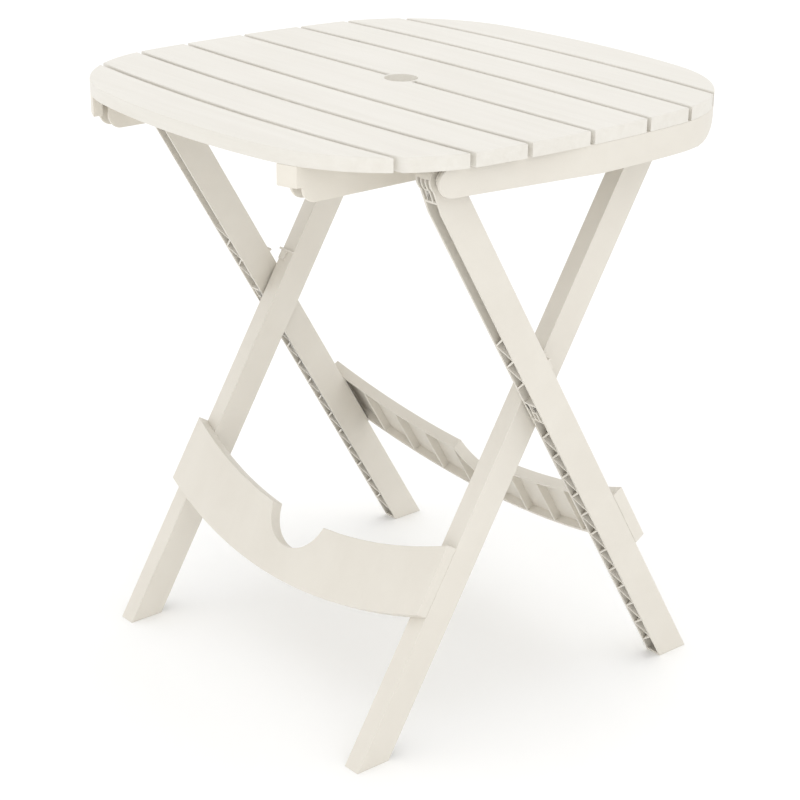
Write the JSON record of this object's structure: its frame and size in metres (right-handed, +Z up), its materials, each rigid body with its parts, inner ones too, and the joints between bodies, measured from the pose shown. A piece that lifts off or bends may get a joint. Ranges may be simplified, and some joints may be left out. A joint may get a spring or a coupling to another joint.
{
  "type": "folding table",
  "caption": "Slatted folding table top with a pole hole, carried on two crossed frames of channel legs with curved stretchers.",
  "frame": {"origin": "on the floor, under the middle of the table", "axes": "+Z up, +X along the slats to the right, +Y across the slats, away from the side with the hinge pins"},
  "size_m": [0.63, 0.648, 0.724],
  "materials": {
    "resin": "satin",
    "resin_shade": "satin"
  },
  "bodies": {
    "outer_frame": {"outer_leg_right": "resin", "outer_leg_left": "resin", "back_stretcher": "resin"},
    "inner_frame": {"inner_leg_right": "resin", "inner_leg_left": "resin", "front_stretcher": "resin", "pivot_pins": "resin_shade"},
    "top": {"slat_1": "resin", "slat_2": "resin", "slat_3": "resin", "slat_4": "resin", "slat_5": "resin", "slat_6": "resin", "slat_7": "resin", "slat_8": "resin", "end_rail_right": "resin", "end_rail_left": "resin", "cross_rail_right": "resin_shade", "cross_rail_left": "resin_shade", "centre_batten": "resin_shade", "pole_collar": "resin", "rest_stops": "resin_shade", "hinge_pins": "resin_shade"}
  },
  "joints": [
    {"name": "leg_pivot", "type": "hinge", "parent": "outer_frame", "child": "inner_frame", "pos_m": [0, 0, 0.39798], "axis": [1, 0, 0], "range_deg": [0, 60]},
    {"name": "top_hinge", "type": "hinge", "parent": "outer_frame", "child": "top", "pos_m": [0, -0.1745, 0.691], "axis": [1, 0, 0], "range_deg": [0, 30]}
  ],
  "couplings": [
    {"joint": "top_hinge", "follows": "leg_pivot", "ratio": 0.5}
  ]
}
